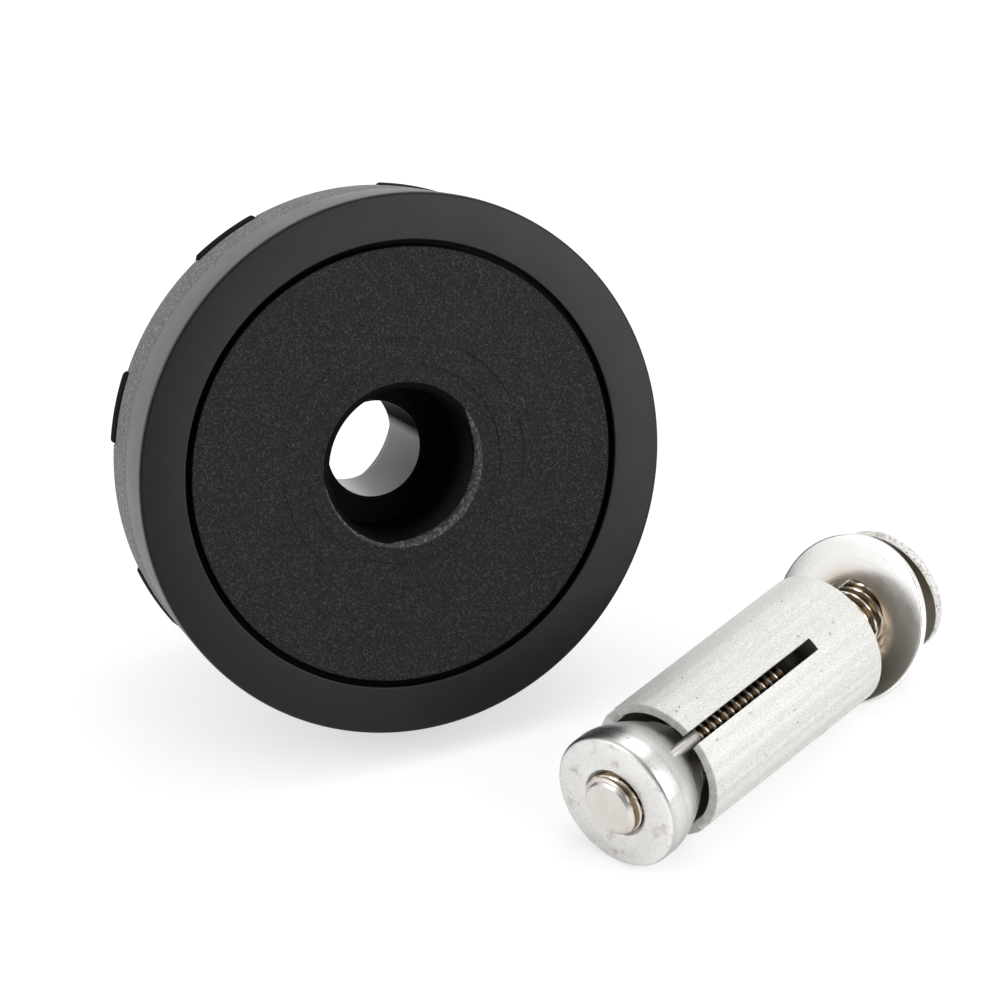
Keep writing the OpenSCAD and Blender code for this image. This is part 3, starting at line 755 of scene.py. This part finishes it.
def make_pot():
    """Pot: flange, wall with a chamfered pull face, and a floor with the centre hole."""
    return turned("pot", [
        (POT_HOLE_R, POT_FRONT, 0, 0), (POT_FLANGE_R, POT_FRONT, 0.1, 0), (POT_FLANGE_R, CAP_H, 0.1, 0),
        (POT_R, CAP_H, 0, 0), (POT_R, PULL_FACE - POT_CHAMFER, 0.15, 0),
        (POT_R - POT_CHAMFER, PULL_FACE, 0.15, 0), (POT_INNER_R, PULL_FACE, 0.12, 0),
        (POT_INNER_R, POT_FLOOR_END, 0, 0), (POT_HOLE_R, POT_FLOOR_END, 0, 0)],
        PUCK, [POT_NICKEL])


def make_magnet():
    """Ring magnet that lies on the pot's floor."""
    return turned("magnet", [
        (MAGNET_BORE_R, POT_FLOOR_END, 0, 0), (MAGNET_R, POT_FLOOR_END, 0, 0),
        (MAGNET_R, MAGNET_END, 0.35, 0), (MAGNET_BORE_R, MAGNET_END, 0.35, 0)], PUCK, [MAGNET_NICKEL])


def make_potting(name, inner, outer):
    """A poured ring that climbs a little up both of its walls."""
    sag = [(inner + (outer - inner) * t, POTTING_END - 0.28 * (1 - (2 * t - 1) ** 4), 0, 0)
           for t in [i / 8 for i in range(9)]]
    return turned(name, [(outer, POT_FLOOR_END, 0, 0), (inner, POT_FLOOR_END, 0, 0)] + sag, PUCK, [POTTING])


def make_liner():
    """Liner tube of the rear recess."""
    return turned("liner_tube", [
        (LINER_BORE_R, BOSS_END, 0, 0), (LINER_R, BOSS_END, 0, 0), (LINER_R, LINER_END, 0.15, 0),
        (LINER_BORE_R, LINER_END, 0.3, 0)], PUCK, [LINER_STEEL])


def make_bush():
    """Bush: polished bore with painted shade dimming its shine towards the upper side, and a dull front end.
    """
    gloss, darkest_shade, front, edge = 0, len(BUSH_PAINTED_SHADE), len(BUSH_PAINTED_SHADE) + 1, 0.12
    piece = turned("bush", [
        (BUSH_BORE_R, CBORE_H, edge, front), (BUSH_R, CBORE_H, 0, front), (BUSH_R, BOSS_END, 0, gloss),
        (BUSH_BORE_R, BOSS_END, 0.15, gloss)], PUCK, [BUSH_BLACK, *BUSH_PAINTED_SHADE, CAP_BORE])
    # Painted shade: the higher a face of the bore wall stands, the dimmer the gloss it takes.
    for face, r, depth, up in home_faces(piece):
        if r < BUSH_BORE_R + 0.2 and depth > CBORE_H + edge:
            face.material_index = max(gloss, min(darkest_shade, 1 + math.floor(up / SHADE_BAND_STEP)))
    return piece


# ======== the bolt kit
def make_bolt():
    """Threaded shank and low domed head with a hexagon socket."""
    # Painted shade: the head's underside and the socket floor take the dark steel.
    thread, tip, bright, shaded_under = 0, 1, 2, 3
    overlap, edge, crown_r, tip_end = 0.3, 0.15, 3.4, 1.1 * TIP_CHAMFER
    shank = from_tree("bolt_thread", bpy.data.meshes.new("bolt_thread"), THREAD, {
        "Length": BOLT_LEN + overlap, "Crest": BOLT_R - 0.01, "Root": THREAD_ROOT_R, "Pitch": THREAD_PITCH,
        "Chamfer": TIP_CHAMFER, "Rows": 560, "Steps": 73})
    for face in shank.polygons:
        face.material_index = tip if face.center.z < tip_end else thread
    shoulder = BOLT_LEN + HEAD_SIDE
    top = shoulder + HEAD_DOME
    dome = [(HEAD_R - 0.1 - (HEAD_R - crown_r) * t, shoulder + HEAD_DOME * math.sin(t * math.pi / 2) ** 0.9)
            for t in [i / 12 for i in range(13)]]
    socket = hexagon(SOCKET_AF)
    head = turned_mesh("bolt_head", [
        (0.0, BOLT_LEN, shaded_under), (4.2, BOLT_LEN, shaded_under), (HEAD_R - edge, BOLT_LEN, bright),
        (HEAD_R, BOLT_LEN + edge, bright), (HEAD_R, shoulder - edge, bright)] +
        [(r, d, bright) for r, d in dome] + [
        (3.15, top - 0.05, bright), (socket, top - 0.3, bright), (socket, top - SOCKET_H, shaded_under),
        (0.0, top - SOCKET_H - 0.4, shaded_under)], steps=144, closed=False)
    mesh = join_meshes("bolt", [shank, head])
    return finished_mesh("bolt", mesh, KIT, [BOLT_STEEL, TIP_STEEL, HEAD_STEEL, SHADED_UNDER_STEEL], 32.0)


def make_washer():
    """Flat washer, leaning on the shank."""
    h = WASHER_H / 2
    return turned("washer", [
        (WASHER_BORE_R, -h, 0.12, 0), (WASHER_R, -h, 0.3, 0), (WASHER_R, h, 0.12, 0),
        (WASHER_BORE_R, h, 0.25, 0)], WASHER, [WASHER_STEEL], steps=160)


def make_sleeve():
    """Sleeve: four legs split by straight slots that run on as grooves into a thick collar."""
    half, bevel, step = SLOT_W / 2, 0.1, SLEEVE_LEN - COLLAR_LEN
    pitch = 2 * math.pi / SLOTS
    leg_steps, slot_steps = 44, 4
    # Painted shade: dull marks the darker inside finish and deep the darkest one, on the slot floors.
    metal, dull, deep_shade = 0, 1, 2

    def angles(radius):
        # Where the walls of slots and legs stand at a radius, so that the slots keep their width.
        edge = math.asin(half / radius)
        found = []
        for s in range(SLOTS):
            centre = math.radians(SLOT_TURN) + s * pitch
            found += [centre - edge + 2 * edge * k / slot_steps for k in range(slot_steps)]
            found += [centre + edge + (pitch - 2 * edge) * k / leg_steps for k in range(leg_steps)]
        return found

    outer, inner, floor = angles(SLEEVE_R), angles(SLEEVE_BORE_R), angles(SLOT_FLOOR_R)
    bore = angles(COLLAR_BORE_R)
    count = len(outer)
    in_slot = [(k % (slot_steps + leg_steps)) < slot_steps for k in range(count)]
    low_levels = [0.0, bevel] + list(np.linspace(0.6, step, 14))
    levels = low_levels + [SLOT_LEN] + list(np.linspace(SLOT_LEN + 1, SLEEVE_LEN - bevel, 5)) + [SLEEVE_LEN]
    last = len(low_levels) - 1
    verts, faces, tags = [], [], []

    def ring(radius, used, z):
        # Adds a ring of points and gives the number of its first.
        start = len(verts)
        verts.extend((radius * math.cos(a), radius * math.sin(a), z) for a in used)
        return start

    def skin(low, high, slots=True, legs=True, tag=metal):
        # Joins two rings by faces over the slots, the legs or both.
        for k in range(count):
            if slots if in_slot[k] else legs:
                n = (k + 1) % count
                faces.append((low + k, low + n, high + n, high + k))
                tags.append(tag)

    outside = [ring(SLEEVE_R - (bevel if z in (0.0, SLEEVE_LEN) else 0), outer, z) for z in levels]
    inside = [ring(SLEEVE_BORE_R + (bevel if z == 0.0 else 0), inner, z) for z in low_levels]
    floor_near, floor_far = ring(SLOT_FLOOR_R, floor, step), ring(SLOT_FLOOR_R, floor, SLOT_LEN)
    bore_near, bore_far = ring(COLLAR_BORE_R, bore, step), ring(COLLAR_BORE_R, bore, SLEEVE_LEN - 0.2)
    lip = ring(COLLAR_BORE_R + 0.2, bore, SLEEVE_LEN)
    for i in range(len(levels) - 1):
        skin(outside[i], outside[i + 1], slots=i > last)
    for i in range(last):
        skin(inside[i + 1], inside[i], slots=False, tag=dull)
    skin(inside[0], outside[0], slots=False)
    skin(floor_near, inside[-1], slots=False, tag=dull)
    skin(bore_near, floor_near, tag=dull)
    skin(floor_near, floor_far, legs=False, tag=deep_shade)
    skin(floor_far, outside[last + 1], legs=False, tag=dull)
    skin(bore_far, bore_near, tag=dull)
    skin(lip, bore_far, tag=dull)
    skin(outside[-1], lip, tag=dull)
    for k in range(count):
        if in_slot[k] != in_slot[k - 1]:
            for i in range(last):
                faces.append((outside[i] + k, outside[i + 1] + k, inside[i + 1] + k, inside[i] + k))
            faces.append((outside[last] + k, outside[last + 1] + k, floor_far + k, floor_near + k,
                          inside[last] + k))
    mesh = bpy.data.meshes.new("sleeve")
    mesh.from_pydata(verts, [], faces)
    mesh.polygons.foreach_set("material_index", tags + [metal] * (len(faces) - len(tags)))
    return finished_mesh("sleeve", mesh, KIT @ Matrix.Translation((0, 0, MOUTH_Z)),
                         [SLEEVE_METAL, SLEEVE_INSIDE_SHADE, SLEEVE_SLOT_FLOOR_SHADE], 35.0)


def taper_r(run):
    """The radius of the nut's convex taper at a distance behind its flange."""
    return NUT_R - NUT_TAPER * (run / NUT_TAPER_LEN) ** 1.6


def key_mesh():
    """One key: a bar with a rounded back that lies along the nut's taper."""
    inner, half, steps, stations = 4.5, KEY_W / 2, 14, 16
    rows = []
    for k in range(stations):
        d = KEY_FROM + (KEY_END - KEY_FROM) * k / (stations - 1)
        near_end = min(1.0, (stations - 1 - k) / 2)
        near_start = min(1.0, (d - KEY_FROM) / 2.4)
        top = KEY_R - 0.3 - 0.35 * (1 - near_end) ** 2 - 0.3 * (1 - near_start) ** 2
        row = [(inner, -half, d)]
        for j in range(steps + 1):
            t = -math.cos(math.pi * j / steps)
            row.append((top - 0.85 * (1 - math.sqrt(1 - t * t)), half * t, d))
        row.append((inner, half, d))
        rows.append(row)
    return swept_mesh("nut_key", rows)


def make_nut():
    """Cone nut: flange, convex taper, bolt hole and the keys that ride in the sleeve's slots."""
    face, side, key = 0, 1, 2
    taper = [(taper_r(run), NUT_FLANGE_H + run, 0, side)
             for run in [NUT_TAPER_LEN * i / 24 for i in range(25)]]
    small = taper[-1][0]
    length = NUT_FLANGE_H + NUT_TAPER_LEN + NUT_END_ROUND
    body = turned_mesh("nut_body", rounded([
        (NUT_BORE_R, 0.45, 0, face), (NUT_BORE_R + 0.45, 0, 0.2, face), (NUT_R, 0, 0.9, side)] + taper +
        [(small - 0.15, length - 0.3, 0.2, side), (small - NUT_END_ROUND, length, 0.2, face),
         (NUT_BORE_R, length, 0, face)]))
    keys = copies("nut_keys", key_mesh(), KEYS, SLOT_TURN)
    keys.polygons.foreach_set("material_index", [key] * len(keys.polygons))
    mesh = join_meshes("nut", [body, keys])
    # Painted shade: the side takes a darker copy of the face's metal, and the keys a darker one still.
    return finished_mesh("nut", mesh, KIT @ Matrix.Translation((0, 0, NUT_Z)),
                         [NUT_METAL, NUT_SIDE_SHADED, KEY_SHADED_METAL], 35.0)


# ======== set out
def stand_for(piece, node, body):
    """Ties a piece to the body it moves with and hides the CAD node it stands for."""
    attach(piece, body)
    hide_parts(node)


stand_for(make_cap(), "housing", "puck")
stand_for(make_ring(), "bumper_ring", "puck")
stand_for(make_keeper(), "retaining_ring", "puck")
stand_for(make_cap_screws(), "retaining_screws", "puck")
stand_for(make_pot(), "steel_pot", "puck")
stand_for(make_magnet(), "ring_magnet", "puck")
stand_for(make_potting("outer_resin", MAGNET_R + PLAY, POT_INNER_R - PLAY), "outer_potting", "puck")
stand_for(make_potting("inner_resin", POT_HOLE_R, MAGNET_BORE_R - PLAY), "inner_potting", "puck")
stand_for(make_liner(), "liner", "puck")
stand_for(make_bush(), "centre_bush", "puck")
stand_for(make_bolt(), "clamp_bolt", "bolt")
stand_for(make_washer(), "flat_washer", "washer")
stand_for(make_sleeve(), "expansion_sleeve", "sleeve")
stand_for(make_nut(), "cone_nut", "nut")


# ======== studio
FLOOR_REACH = 3  # metres from the middle to each side
FLOOR_WHITE, FLOOR_SHADE, FLOOR_GLOW, FLOOR_SHINE = 0.88, 0.48, 0.61, 0.05
WORLD_FRONT, WORLD_ROUND = 0.22, 0.98
VIEW_UP, VIEW_LEFT, VIEW_DEPTH = 34.0, 22.5, 642.2  # degrees, degrees and millimetres
FRAME_PX, FOCAL_PX, PUCK_PX = 1000, 5300.0, (403.6, 465.2)  # where the puck's origin falls, in pixels
SENSOR = 36.0  # its width in millimetres


def make_floor():
    """A pale floor: plain to the light, white to the camera except in shadow, bright in reflections."""
    mesh = bpy.data.meshes.new("floor")
    mesh.from_pydata([(x * FLOOR_REACH, y * FLOOR_REACH, 0) for x, y in ((-1, -1), (1, -1), (1, 1), (-1, 1))],
                     [], [(0, 1, 2, 3)])
    floor = added("floor", mesh)
    made = bpy.data.materials.new("floor_white")
    made.use_nodes = True
    tree = made.node_tree
    tree.nodes.clear()
    out = put(tree, "ShaderNodeOutputMaterial")
    rays = put(tree, "ShaderNodeLightPath").outputs
    tone = blend_colour(tree, rays["Is Camera Ray"], toned([FLOOR_WHITE] * 3), toned([FLOOR_SHADE] * 3))
    shade = put(tree, "ShaderNodeBsdfDiffuse", {"Color": tone}).outputs[0]
    glow = calc(tree, "MULTIPLY", rays["Is Camera Ray"], FLOOR_GLOW)
    glow = calc(tree, "MULTIPLY_ADD", rays["Is Glossy Ray"], FLOOR_SHINE, glow)
    light = put(tree, "ShaderNodeEmission", {"Color": (1, 1, 1, 1), "Strength": glow}).outputs[0]
    lit = put(tree, "ShaderNodeAddShader", {0: shade, 1: light}).outputs[0]
    tree.links.new(lit, out.inputs["Surface"])
    mesh.materials.append(made)


def make_world():
    """Soft surroundings: white to the camera, pale behind, above and beside, dim in front."""
    world = bpy.data.worlds.new("studio")
    bpy.context.scene.world = world
    world.use_nodes = True
    tree = world.node_tree
    tree.nodes.clear()
    out = put(tree, "ShaderNodeOutputWorld")
    way = put(tree, "ShaderNodeTexCoord").outputs["Generated"]
    xyz = put(tree, "ShaderNodeSeparateXYZ", {0: way}).outputs
    sky = between(tree, xyz[1], -0.75, 0.0, WORLD_FRONT, WORLD_ROUND)
    rays = put(tree, "ShaderNodeLightPath").outputs
    level = put(tree, "ShaderNodeMix", {0: rays["Is Camera Ray"], 2: sky, 3: 1.0},
                data_type="FLOAT").outputs[0]
    glow = put(tree, "ShaderNodeBackground", {"Color": (1, 1, 1, 1), "Strength": level}).outputs[0]
    tree.links.new(glow, out.inputs["Surface"])


def make_lamp(name, at, aim, size, level):
    """A soft square lamp. level is the brightness it gives a white surface that faces it."""
    lamp = bpy.data.lights.new(name, "AREA")
    lamp.shape, lamp.size = "SQUARE", size
    towards = Vector(aim) - Vector(at)
    lamp.energy = level * math.pi ** 2 * towards.length_squared
    holder = added(name, lamp)
    holder.matrix_world = Matrix.Translation(at) @ towards.to_track_quat("-Z", "Y").to_matrix().to_4x4()


def make_camera():
    """Camera above the horizon and left of the puck's face, placed by where it sees the puck."""
    elevation, yaw = math.radians(VIEW_UP), math.radians(VIEW_LEFT)
    across = Vector((math.cos(yaw), -math.sin(yaw), 0))
    away = Vector((math.sin(yaw), math.cos(yaw), 0))
    ahead = away * math.cos(elevation) - Vector((0, 0, 1)) * math.sin(elevation)
    up = away * math.sin(elevation) + Vector((0, 0, 1)) * math.cos(elevation)
    right, below = (at - FRAME_PX / 2 for at in PUCK_PX)
    ray = across * right / FOCAL_PX - up * below / FOCAL_PX + ahead
    camera = bpy.data.cameras.new("camera")
    camera.sensor_width, camera.lens = SENSOR, SENSOR * FOCAL_PX / FRAME_PX
    camera.clip_start, camera.clip_end = 0.01, 20.0
    holder = added("camera", camera)
    place = Matrix((across, up, -ahead)).transposed().to_4x4()
    place.translation = (PUCK.translation - ray * VIEW_DEPTH) * MM
    holder.matrix_world = place
    bpy.context.scene.camera = holder


make_floor()
make_world()
make_lamp("top_soft", (0.35, 0.35, 0.9), (0, 0, 0.02), 0.6, 0.20)
make_lamp("left_soft", (-0.75, -0.05, 0.55), (0, 0, 0.03), 0.35, 0.15)
make_lamp("near_soft", (0.098, -0.152, 0.100), (-0.0155, 0.0037, 0.035), 0.14, 0.50)
make_camera()
bpy.context.scene.view_settings.view_transform = "Standard"
